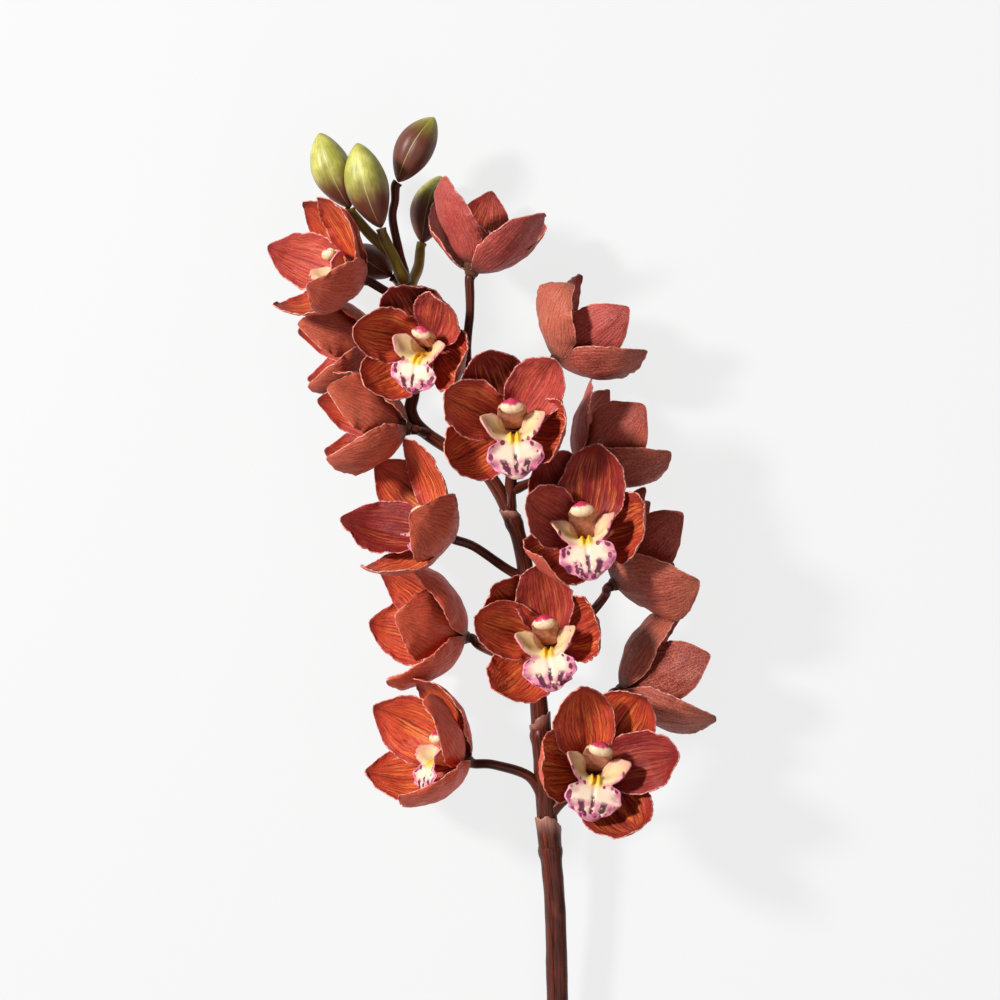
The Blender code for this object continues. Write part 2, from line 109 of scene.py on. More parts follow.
# Each bloom's place, then its heading across the photograph, tilt up to the lens and turn about its own axis
BLOOM_PLACES = {
    "bloom_01": ((358, 277, 54), (160, 28, 18)),
    "bloom_02": ((376, 347, 24.6), (182, 4, 5)),
    "bloom_03": ((431, 345, 60), (195, 72, -12)),
    "bloom_04": ((402, 428, 55), (172, 6, 5)),
    "bloom_05": ((513, 427, 78), (90, 86, 4)),
    "bloom_06": ((473, 267, 50), (76, 0, -30)),
    "bloom_07": ((560, 357, 37), (40, -6, 20)),
    "bloom_08": ((586, 467, 41), (42, -6, 6)),
    "bloom_09": ((445, 534, 52), (150, 32, 50)),
    "bloom_10": ((587, 538, 72), (108, 72, 8)),
    "bloom_11": ((619, 581, 48), (33, -10, 10)),
    "bloom_12": ((460, 636, 22.4), (167, 18, -28)),
    "bloom_13": ((551, 643, 57), (130, 78, 8)),
    "bloom_14": ((626, 689, 39.1), (18, -6, 20)),
    "bloom_15": ((463, 760, 44), (160, 28, 3)),
    "bloom_16": ((592, 770, 60), (60, 78, -10)),
}
# Each bud's foot and tip, half of its thickness in millimetres, and how green it still is
BUDS = {
    "bud_1": ((350, 208, 50), (319, 133, 56), 11.0, 1.0),
    "bud_2": ((381, 228, 62), (357, 143, 72), 11.5, 0.9),
    "bud_3": ((398, 182, 46), (434, 117, 50), 10.5, 0.35),
    "bud_4": ((422, 243, 25), (441, 176, 14), 10.5, 0.72),
    "bud_5": ((392, 276, 30), (354, 246, 26), 9.0, 0.1),
}
# Each sheath's place as a share of the stem's knots, length and flare in millimetres, and tallest side
SHEATHS = [(0.196, 25, 0.7, 1.2), (0.362, 19, 0.6, 2.6), (0.575, 11, 0.4, 0.4)]


def wavy(x, y, z):
    """A number from -1 to 1 that waves with place."""
    return noise.noise(Vector((x, y, z)))


def seen(column, row, height):
    """The point at a height in millimetres that the photograph shows at a pixel."""
    nearer = (VIEW_HEIGHT - height * MM) / (VIEW_HEIGHT - STEM_HEIGHT)
    across = VIEW_COLUMN - ORIGIN_COLUMN + (column - VIEW_COLUMN) * nearer
    along = ORIGIN_ROW - VIEW_ROW - (row - VIEW_ROW) * nearer
    return Vector((across * PIXEL, along * PIXEL, height * MM))


def facing(heading, tilt, turn):
    """A bloom's pose: heading across the photograph, tilt up to the lens, and turn about its own axis."""
    h, t = radians(heading), radians(tilt)
    axis = Vector((cos(h) * cos(t), sin(h) * cos(t), sin(t)))
    up = Vector((0, 1, 0))
    dorsal = (up - axis * up.dot(axis)).normalized()
    pose = Matrix((dorsal.cross(axis), dorsal, axis)).transposed()
    return pose @ Matrix.Rotation(radians(turn), 3, "Z")


def smooth(share):
    share = min(max(share, 0.0), 1.0)
    return share * share * (3 - 2 * share)


def through(knots, share):
    """Point, direction and radius at a share of a smooth curve through knots of (point, radius)."""
    place = share * (len(knots) - 1)
    index = min(int(place), len(knots) - 2)
    t = place - index
    around = [knots[min(max(index + step, 0), len(knots) - 1)] for step in (-1, 0, 1, 2)]
    a, b, c, d = [point for point, radius in around]
    point = 0.5 * (2 * b + (c - a) * t + (2 * a - 5 * b + 4 * c - d) * t**2 + (3 * b - a - 3 * c + d) * t**3)
    ahead = 0.5 * ((c - a) + 2 * (2 * a - 5 * b + 4 * c - d) * t + 3 * (3 * b - a - 3 * c + d) * t**2)
    radius = around[1][1] + (around[2][1] - around[1][1]) * t
    return point, ahead.normalized(), radius


def ring_frames(knots, rings):
    """Centre, side, back, radius and length so far at each ring, turning as little as they can."""
    frames = []
    side = None
    length = 0
    for ring in range(rings + 1):
        point, ahead, radius = through(knots, ring / rings)
        side = Vector((0, 0, 1)).cross(ahead) if side is None else side
        side = (side - ahead * side.dot(ahead)).normalized()
        if frames:
            length += (point - frames[-1][0]).length
        frames.append((point, side, ahead.cross(side), radius, length))
    return frames


def tube(bm, sides, rings, closed):
    """Adds an upright tube of unit radius and length, cut into rings, and gives its vertices."""
    placed = bm.verts.layers.int["placed"]
    made = bmesh.ops.create_cone(bm, cap_ends=closed, cap_tris=False, segments=sides, radius1=1, radius2=1,
                                 depth=1)
    upright = [edge for vertex in made["verts"] if vertex.co.z < 0 for edge in vertex.link_edges
               if abs(edge.verts[0].co.z - edge.verts[1].co.z) > 0.5]
    bmesh.ops.subdivide_edges(bm, edges=upright, cuts=rings - 1, use_grid_fill=True)
    verts = [vertex for vertex in bm.verts if not vertex[placed]]
    for vertex in verts:
        vertex[placed] = 1
    return verts


def branch(bm, knots, joints, sides, rings, ribs):
    """Adds one branch: a closed round tube, ribbed along, knobbly, and thicker at its joints."""
    verts = tube(bm, sides, rings, True)
    frames = ring_frames(knots, rings)
    grain = bm.verts.layers.float_vector["grain"]
    for vertex in verts:
        ring = round((vertex.co.z + 0.5) * rings)
        angle = atan2(vertex.co.y, vertex.co.x)
        x, y = cos(angle), sin(angle)
        point, side, back, radius, length = frames[ring]
        vertex[grain] = (x * radius, y * radius, length)
        swelling = 1 + KNOB_HEIGHT * wavy(x * 1.5, y * 1.5, length / KNOB_LENGTH)
        swelling += RIB_DEPTH * cos(ribs * angle)
        for joint in joints:
            swelling += JOINT_SWELLING * exp(-((length - joint) / JOINT_REACH) ** 2)
        vertex.co = point + (side * x + back * y) * radius * swelling
    return verts


def backed(bm, faces, steps):
    """Gives a sheet a back, a step away from each of its points, and gives the back's vertices."""
    shell = bmesh.ops.extrude_face_region(bm, geom=faces, use_keep_orig=True)
    backs = [item for item in shell["geom"] if isinstance(item, bmesh.types.BMVert)]
    for vertex in backs:
        vertex.co += steps[tuple(vertex.co)]
    return backs


def sheath(bm, knots, share, length, flare, towards):
    """Adds a papery sheath: a thin cone open at its top, torn along its upper edge."""
    verts = tube(bm, SHEATH_SIDES, SHEATH_RINGS, False)
    faces = list({face for vertex in verts for face in vertex.link_faces})
    grain = bm.verts.layers.float_vector["grain"]
    dry = bm.verts.layers.float["dry"]
    total = ring_frames(knots, MEASURED_RINGS)[-1][4]
    inwards = {}
    for vertex in verts:
        up = vertex.co.z + 0.5
        angle = atan2(vertex.co.y, vertex.co.x)
        tall = 1 - 0.65 * smooth(0.5 - 0.5 * cos(angle - towards))
        tall -= 0.3 * wavy(angle * 2.6, share * 50, 0)
        point, ahead, radius = through(knots, share + up * tall * length * MM / total)
        side = Vector((0, 0, 1)).cross(ahead).normalized()
        back = ahead.cross(side)
        flared = flare * MM * up**2.2 * (1 + 0.5 * wavy(angle * 1.7, share * 90, 3))
        out = radius * 1.07 + SHEATH_GAP + flared
        vertex[grain] = (cos(angle) * radius, sin(angle) * radius, up * length * MM)
        dried = 0.65 + 0.35 * wavy(angle * 2, up * 3, share * 70)
        vertex[dry] = smooth((up - 0.35) / 0.6) * dried
        vertex.co = point + (side * cos(angle) + back * sin(angle)) * out
        inwards[tuple(vertex.co)] = (point - vertex.co).normalized() * SHEATH_WALL
    backed(bm, faces, inwards)


def put(name, data):
    made = bpy.data.objects.new(name, data)
    bpy.context.scene.collection.objects.link(made)
    return made


def finished(name, bm, replaced, look):
    """Puts a mesh into the scene, held inside the frame's box, as a piece that stands for its CAD node."""
    for vertex in bm.verts:
        vertex.co = [min(max(value, low), high) for value, low, high in zip(vertex.co, *cad_box)]
    mesh = bpy.data.meshes.new(name)
    bm.to_mesh(mesh)
    bm.free()
    mesh.shade_smooth()
    mesh.materials.append(look)
    piece = put(name, mesh)
    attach(piece, "root")
    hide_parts(replaced)


def fill(tree, node, inputs):
    """Fills a node's sockets with values or with other nodes' outputs."""
    for socket, value in inputs.items():
        if isinstance(value, bpy.types.NodeSocket):
            tree.links.new(value, node.inputs[socket])
        else:
            node.inputs[socket].default_value = value


def add(tree, kind, inputs=None, **settings):
    """A shader node with its settings and its filled sockets."""
    node = tree.nodes.new("ShaderNode" + kind)
    for name, value in settings.items():
        setattr(node, name, value)
    fill(tree, node, inputs or {})
    return node


def reckon(tree, operation, first, second=0.0, third=0.0):
    """The result of a Math node."""
    node = add(tree, "Math", {0: first, 1: second, 2: third}, operation=operation)
    return node.outputs[0]


def times(tree, first, second):
    return reckon(tree, "MULTIPLY", first, second)


def attribute(tree, name, output="Fac"):
    """What a layer of the mesh says at a point, as a number or as a vector."""
    return add(tree, "Attribute", attribute_name=name).outputs[output]


def stepped(tree, value, low, high, start=0.0, end=1.0):
    """Eases from start to end while a value goes from low to high."""
    inputs = {"Value": value, "From Min": low, "From Max": high, "To Min": start, "To Max": end}
    return add(tree, "MapRange", inputs, interpolation_type="SMOOTHSTEP").outputs["Result"]


def mixed(tree, share, first, second, blend="MIX"):
    """Two colours mixed by a share."""
    node = add(tree, "Mix", data_type="RGBA", blend_type=blend, clamp_factor=True)
    for index, value in ((0, share), (6, first), (7, second)):
        if isinstance(value, bpy.types.NodeSocket):
            tree.links.new(value, node.inputs[index])
        else:
            node.inputs[index].default_value = value if index == 0 else (*value, 1)
    return node.outputs[2]


def noise_at(tree, vector, scale, detail=3.0, roughness=0.55):
    inputs = {"Vector": vector, "Scale": scale, "Detail": detail, "Roughness": roughness}
    return add(tree, "TexNoise", inputs).outputs["Fac"]


def stretched(tree, vector, scale):
    return add(tree, "Mapping", {"Vector": vector, "Scale": scale}).outputs[0]


def bumped(tree, height, strength, depth):
    return add(tree, "Bump", {"Height": height, "Strength": strength, "Distance": depth}).outputs[0]


def surface(name):
    """A new material: its node tree and its Principled shader."""
    look = bpy.data.materials.new(name)
    look.use_nodes = True
    return look, look.node_tree, look.node_tree.nodes["Principled BSDF"]


def stem_look():
    look, tree, shader = surface("stem skin")
    grain = attribute(tree, "grain", "Vector")
    fibres = noise_at(tree, stretched(tree, grain, (1400, 1400, 60)), 1.0, 4)
    blotches = noise_at(tree, stretched(tree, grain, (160, 160, 45)), 1.0, 4)
    places = add(tree, "TexCoord").outputs["Object"]
    patches = noise_at(tree, places, 38, 3)
    dark, brown, rust = (0.028, 0.005, 0.003), (0.115, 0.019, 0.008), (0.23, 0.050, 0.020)
    green, paper_dark, paper_pale = (0.27, 0.20, 0.022), (0.24, 0.075, 0.052), (0.60, 0.32, 0.25)
    colour = mixed(tree, stepped(tree, fibres, 0.35, 0.68), dark, brown)
    colour = mixed(tree, stepped(tree, blotches, 0.55, 0.82, 0, 0.6), colour, rust)
    freshness = times(tree, attribute(tree, "fresh"), stepped(tree, patches, 0.35, 0.65, 0.35, 1))
    colour = mixed(tree, freshness, colour, green)
    colour = mixed(tree, attribute(tree, "dry"), colour, mixed(tree, fibres, paper_dark, paper_pale))
    fill(tree, shader, {
        "Base Color": colour, "Roughness": stepped(tree, fibres, 0.3, 0.7, 0.28, 0.46),
        "Specular IOR Level": 0.22, "Normal": bumped(tree, fibres, 0.35, 0.4 * MM),
    })
    return look


def stem_piece():
    bm = bmesh.new()
    bm.verts.layers.float_vector.new("grain")
    bm.verts.layers.float.new("dry")
    fresh = bm.verts.layers.float.new("fresh")
    bm.verts.layers.int.new("placed")
    main = [(seen(*knot[:3]), knot[3] * MM) for knot in MAIN_STEM]
    measured = ring_frames(main, MEASURED_RINGS)
    branch(bm, main, [measured[round(share * MEASURED_RINGS)][4] for share, *sizes in SHEATHS], **MAIN_TUBE)
    for name, knots in STALKS.items():
        if name in BLOOM_PLACES:
            place, pointed = BLOOM_PLACES[name]
            ahead = facing(*pointed).col[2]
            end = seen(*place) + ahead * HUB_BOTTOM
        else:
            foot, tip = BUDS[name][:2]
            ahead = (seen(*tip) - seen(*foot)).normalized()
            end = seen(*foot)
        thicker = GREEN_STALK_GROWTH if name in GREEN_STALKS else 1.0
        path = [(seen(*knot[:3]), knot[3] * thicker * MM) for knot in knots]
        path += [(end - ahead * NECK * MM, NECK_RADIUS * MM), (end - ahead * SEAT_GAP, STALK_TOP_RADIUS * MM)]
        verts = branch(bm, path, [NECK * MM], **STALK_TUBE)
        if name in GREEN_STALKS:
            for vertex in verts:
                vertex[fresh] = GREEN_STALK_FRESHNESS
    for share, length, flare, towards in SHEATHS:
        sheath(bm, main, share, length, flare, towards)
    bmesh.ops.recalc_face_normals(bm, faces=bm.faces)
    finished("orchid_stem", bm, "stem", stem_look())


stem_piece()

# The sepals and petals: five broad cupped blades on a hub, rust red and waxy, with darker veins that run from
# the claw to the tip and a thin pale rim. They grew as one piece with the top of the seed vessel that they
# stand on, and they are pressed flat where the stem lies on a surface.
HUB_RADIUS = 5.0
HUB_FOOT = 3.2
HUB_SIDES, HUB_RINGS, HUB_RIBS = 30, 10, 6
HUB_TOP = 2.4 * MM
BLADE_THICKNESS = 0.9 * MM
RESTING_THICKNESS = 0.6 * MM
BLADE_ROWS, BLADE_COLUMNS = 40, 32
MIDRIB_STEPS = 4
CLAW = 0.22
CLAW_INSET = 3.0
CURL_START = 0.6
TIP_TAPER, TAPER_START, TAPER_LENGTH = 0.20, 0.78, 0.20
RIM_THICKNESS, RIM_WIDTH = 0.62, 3
FOLD_DEPTH, FOLD_WIDTH = 0.55, 1.5
WAVE, WAVE_LENGTH = 1.3, 8
FRILL, FRILL_LENGTH = 1.0, 2.8
BUCKLE, BUCKLE_WIDTH, BUCKLE_LENGTH = 1.3, 12, 14
CRINKLE, CRINKLE_WIDTH, CRINKLE_LENGTH = 0.30, 3.2, 5.0
VEIN_HEIGHT, VEIN_SPACING = 0.10, 3.1
RAGGED, RAGGED_LENGTH = 0.055, 5
# Each blade carries a level of painted light in its colour; below zero it is painted shade.
BLADE_LAYERS = ("u", "along", "edge", "outer", "painted_sheen", "painted_light", "seed")
SEPAL = dict(length=56, width=39, lean=(86, 47, 8), cup=0.85, rise=-2.0)
PETAL = dict(length=54, width=34, lean=(68, 46, 16), cup=0.95, rise=1.2)
WHORLS = {
    "dorsal": dict(SEPAL, turn=91.3, rise=-2.2),
    "petal_left": dict(PETAL, turn=149.1),
    "petal_right": dict(PETAL, turn=31.7, rise=1.4),
    "sepal_left": dict(SEPAL, turn=212.9, rise=-2.3),
    "sepal_right": dict(SEPAL, turn=327.4),
}
PLAIN = dict(twist=0, curl=0, opened=0, painted_sheen=0.15, painted_light=0.1)
# Each bloom's size, how far it opens in degrees, and what differs in its blades, such as how much light or
# shade is painted into each blade
# A blade's rose tint is a painted sheen: the sheen of light meeting the waxy blade at a glancing angle.
BLOOM_SHAPES = {
    "bloom_01": (1.0, -10, dict(
        every=dict(painted_light=0.6),
        dorsal=dict(turn=96), petal_left=dict(turn=154, painted_sheen=0.8),
        sepal_left=dict(turn=232, opened=-4), petal_right=dict(turn=44, twist=35),
        sepal_right=dict(turn=304, width=41, opened=-3))),
    "bloom_02": (0.94, -17, dict(
        every=dict(painted_light=0.3),
        petal_right=dict(turn=24, twist=-12), sepal_left=dict(opened=-2),
        sepal_right=dict(turn=304, opened=-1))),
    "bloom_03": (0.96, -9, dict(
        dorsal=dict(turn=114, width=42, painted_light=-0.6), petal_right=dict(turn=66, painted_sheen=0.7),
        petal_left=dict(turn=172, painted_light=0.7), sepal_left=dict(turn=230, painted_light=0.6),
        sepal_right=dict(turn=346, opened=-6))),
    "bloom_04": (0.98, -16, dict(
        every=dict(painted_light=0.45),
        dorsal=dict(opened=-6), petal_left=dict(opened=-9), petal_right=dict(turn=26, twist=-12, width=36),
        sepal_right=dict(turn=304))),
    "bloom_05": (1.0, 0, dict(
        dorsal=dict(turn=111, painted_light=-0.2), petal_right=dict(turn=53, painted_sheen=0.9),
        petal_left=dict(turn=156, painted_sheen=0.3, painted_light=0.9), sepal_left=dict(turn=208, painted_light=0.6),
        sepal_right=dict(turn=344, opened=-20))),
    "bloom_06": (1.0, -10, dict(
        dorsal=dict(turn=76, painted_sheen=0.8), petal_left=dict(turn=158, width=38, painted_sheen=0.8),
        petal_right=dict(opened=-6), sepal_left=dict(turn=262, opened=-4, curl=50, painted_sheen=0.8))),
    "bloom_07": (0.98, -9, dict(
        dorsal=dict(turn=108, width=43, opened=18, curl=-60), petal_left=dict(turn=162, painted_sheen=0.8))),
    "bloom_08": (1.0, -8, dict(
        dorsal=dict(turn=76, length=53, opened=-8, curl=36, painted_sheen=0.6),
        petal_left=dict(width=40, turn=162, painted_sheen=0.35))),
    "bloom_09": (1.08, -8, dict(
        every=dict(painted_light=0.65), petal_left=dict(painted_light=-0.6),
        petal_right=dict(turn=43, width=30), sepal_right=dict(turn=295, width=42, opened=-9))),
    "bloom_10": (1.06, 0, dict(
        dorsal=dict(turn=110, painted_light=-1), petal_right=dict(turn=71, width=37, painted_light=-0.3),
        petal_left=dict(turn=156, opened=-16, painted_sheen=0.9),
        sepal_left=dict(turn=219, opened=-10, curl=-30, painted_sheen=0.5, painted_light=0.6),
        sepal_right=dict(turn=354, opened=-14))),
    "bloom_11": (1.04, -8, dict(
        sepal_left=dict(turn=192, width=46, cup=0.6, opened=16), petal_left=dict(turn=142, painted_sheen=0.4))),
    "bloom_12": (1.10, -14, dict(every=dict(cup=0.98, width=41, painted_light=0.8), sepal_right=dict(opened=4))),
    "bloom_13": (1.0, -2, dict(
        every=dict(painted_light=0.45),
        dorsal=dict(turn=127), petal_right=dict(turn=86, painted_sheen=0.5, painted_light=-0.3),
        petal_left=dict(turn=159, painted_light=0.9), sepal_left=dict(turn=224, painted_light=0.9),
        sepal_right=dict(turn=10, opened=-14))),
    "bloom_14": (1.06, -10, dict(every=dict(painted_sheen=0.1, painted_light=0.0))),
    "bloom_15": (1.08, -12, dict(
        every=dict(cup=1.05, width=39, painted_light=0.95), petal_right=dict(turn=36),
        sepal_right=dict(turn=298))),
    "bloom_16": (1.08, 0, dict(
        dorsal=dict(turn=68, painted_light=0.3), petal_left=dict(turn=115, painted_light=0.9),
        petal_right=dict(turn=15, painted_light=-1), sepal_left=dict(turn=188, opened=-16, painted_light=0.9),
        sepal_right=dict(turn=306, opened=-4))),
}


def quadratic(ends, share):
    """A curve through three values, at shares 0, one half and 1."""
    first, middle, last = ends
    slope = 4 * middle - 3 * first - last
    return first + slope * share + (last - first - slope) * share * share


def midrib(blade, shares):
    """(point, side, inner) of a blade at each share of its length, from the hub to the tip."""
    turn = radians(blade["turn"])
    radial = Vector((cos(turn), sin(turn), 0))
    around = Vector((-sin(turn), cos(turn), 0))
    axis = Vector((0, 0, 1))
    point = radial * (HUB_RADIUS - CLAW_INSET) * MM + axis * blade["rise"] * MM
    found = []
    share = 0
    for target in shares:
        for step in range(MIDRIB_STEPS + 1):
            now = share + (target - share) * step / MIDRIB_STEPS
            curled = blade["curl"] * smooth((now - CURL_START) / (1 - CURL_START))
            lean = radians(quadratic(blade["lean"], now) + curled)
            ahead = radial * sin(lean) + axis * cos(lean)
            if step < MIDRIB_STEPS:
                point = point + ahead * (blade["length"] * MM * (target - share) / MIDRIB_STEPS)
        side = Matrix.Rotation(radians(blade["twist"] * target), 3, ahead) @ around
        found.append((point.copy(), side, ahead.cross(side)))
        share = target
    return found


def half_width(blade, share):
    body = sin(pi * share**0.90) ** 0.64 if 0 < share < 1 else 0
    body *= 1 - TIP_TAPER * smooth((share - TAPER_START) / TAPER_LENGTH)
    return blade["width"] * MM / 2 * max(body, CLAW * (1 - share))


def blade_sheet(bm, blade, seed):
    """Adds one blade: a cupped sheet with a fold along its midrib and a waved margin, then its back."""
    verts = bmesh.ops.create_grid(bm, x_segments=BLADE_COLUMNS, y_segments=BLADE_ROWS, size=1)["verts"]
    faces = {face for vertex in verts for face in vertex.link_faces}
    placed = bm.verts.layers.int["placed"]
    shares = [1 - (1 - row / BLADE_ROWS) ** 1.2 for row in range(BLADE_ROWS + 1)]
    frames = midrib(blade, shares)
    layer = {name: bm.verts.layers.float[name] for name in BLADE_LAYERS}
    length = blade["length"] * MM
    steps = {}
    for vertex in verts:
        row = round((vertex.co.y + 1) / 2 * BLADE_ROWS)
        u = 0.5 * vertex.co.x + 0.5 * sin(pi / 2 * vertex.co.x)
        share = shares[row]
        point, side, inner = frames[row]
        half = max(half_width(blade, share), 0.01 * MM)
        reach = max(hypot(point.x, point.y), 16 * MM)
        bend = min(max(blade["cup"] * half / reach, 0.02), 1.2)
        half *= 1 + RAGGED * wavy(share * length / (RAGGED_LENGTH * MM), copysign(3, u), seed)
        sideways = half / bend * sin(bend * u)
        inwards = half / bend * (1 - cos(bend * u))
        normal = inner * cos(bend * u) - side * sin(bend * u)
        x, y = u * half / MM, share * length / MM
        margin = smooth((abs(u) - 0.55) / 0.45)
        tip = smooth((share - 0.75) / 0.25)
        lift = -FOLD_DEPTH * exp(-((x / FOLD_WIDTH) ** 2)) * smooth(share * 6) * (1 - tip)
        lift += WAVE * margin * wavy(y / WAVE_LENGTH, copysign(2, u), seed + 5)
        frill = wavy(y / FRILL_LENGTH, copysign(2, u), seed + 9)
        lift += FRILL * margin * margin * frill
        buckle = wavy(x / BUCKLE_WIDTH, y / BUCKLE_LENGTH, seed + 13)
        lift += BUCKLE * smooth(share * 3) * buckle
        crinkle = wavy(x / CRINKLE_WIDTH, y / CRINKLE_LENGTH, seed + 17)
        lift += CRINKLE * smooth(share * 3) * crinkle
        lift += VEIN_HEIGHT * cos(x * 2 * pi / VEIN_SPACING) * smooth(share * 4) * (1 - tip)
        vertex.co = point + side * sideways + inner * inwards + normal * lift * MM
        vertex[placed] = 1
        edge = min((1 - abs(u)) * half, (1 - share) * length * 0.8) / MM
        values = dict(u=u, along=share, edge=edge, painted_sheen=blade["painted_sheen"], painted_light=blade["painted_light"], seed=seed)
        for name, value in values.items():
            vertex[layer[name]] = value
        within = smooth(vertex[layer["edge"]] / RIM_WIDTH)
        thickness = BLADE_THICKNESS * (RIM_THICKNESS + (1 - RIM_THICKNESS) * within)
        steps[tuple(vertex.co)] = normal * -thickness
    for vertex in backed(bm, list(faces), steps):
        vertex[layer["outer"]] = 1


def hub(bm):
    """Adds the hub: the ribbed top of the seed vessel, narrow at its foot where the stalk meets it."""
    u, along, edge = (bm.verts.layers.float[name] for name in ("u", "along", "edge"))
    for vertex in tube(bm, HUB_SIDES, HUB_RINGS, True):
        up = vertex.co.z + 0.5
        angle = atan2(vertex.co.y, vertex.co.x)
        radius = HUB_FOOT + (HUB_RADIUS - HUB_FOOT) * sin(up * pi / 2)
        radius -= 0.6 * smooth((up - 0.85) / 0.15)
        radius *= 1 + 0.05 * cos(HUB_RIBS * angle)
        vertex[along] = -0.3
        vertex[u] = angle / pi
        vertex[edge] = 9
        z = HUB_BOTTOM + (HUB_TOP - HUB_BOTTOM) * up
        vertex.co = Vector((cos(angle) * radius * MM, sin(angle) * radius * MM, z))


def blades_of(name):
    """Each blade of a bloom, with its size and its lean away from the bloom's axis."""
    size, opening, changes = BLOOM_SHAPES[name]
    for blade_name, blade in WHORLS.items():
        blade = {**PLAIN, **blade, **changes.get("every", {}), **changes.get(blade_name, {})}
        opened = opening + blade["opened"]
        first, middle, last = blade["lean"]
        blade["lean"] = (first + opened * 0.4, middle + opened, last + opened)
        blade["length"] *= size
        blade["width"] *= size
        yield blade


def set_on_stem(bm, name):
    """Moves a part of a bloom from the bloom's own axis to its place on the stem."""
    place, pointed = BLOOM_PLACES[name]
    pose = Matrix.Translation(seen(*place)) @ facing(*pointed).to_4x4()
    bmesh.ops.transform(bm, matrix=pose, verts=bm.verts)


def veined(name):
    """Node group: dark parallel veins, streaks between them and a fine grain, along a blade."""
    group = bpy.data.node_groups.new(name, "ShaderNodeTree")
    for socket in ("Across", "Along", "Seed", "Veins", "Breaks"):
        group.interface.new_socket(socket, in_out="INPUT", socket_type="NodeSocketFloat")
    for socket in ("Vein", "Streak", "Grain"):
        group.interface.new_socket(socket, in_out="OUTPUT", socket_type="NodeSocketFloat")
    source = group.nodes.new("NodeGroupInput").outputs
    sink = group.nodes.new("NodeGroupOutput").inputs
    seed = times(group, source["Seed"], 7.3)
    place = {"X": source["Across"], "Y": source["Along"], "Z": seed}
    place = add(group, "CombineXYZ", place).outputs[0]
    wander = noise_at(group, stretched(group, place, (3, 4, 1)), 1.0, 2)
    shifted = reckon(group, "MULTIPLY_ADD", wander, 0.22, source["Across"])
    counted = times(group, shifted, source["Veins"])
    wave = reckon(group, "ABSOLUTE", reckon(group, "SINE", times(group, counted, pi)))
    breaks = noise_at(group, stretched(group, place, (16, 5, 1)), 1.0, 3)
    width = reckon(group, "MULTIPLY_ADD", breaks, source["Breaks"], 0.12)
    vein = reckon(group, "SUBTRACT", 1.0, stepped(group, reckon(group, "DIVIDE", wave, width), 0.25, 1.0))
    group.links.new(vein, sink["Vein"])
    group.links.new(noise_at(group, stretched(group, place, (11, 1.6, 1)), 1.0, 4, 0.6), sink["Streak"])
    group.links.new(noise_at(group, stretched(group, place, (46, 7, 1)), 1.0, 5, 0.68), sink["Grain"])
    return group


VEINS = veined("veins along a blade")


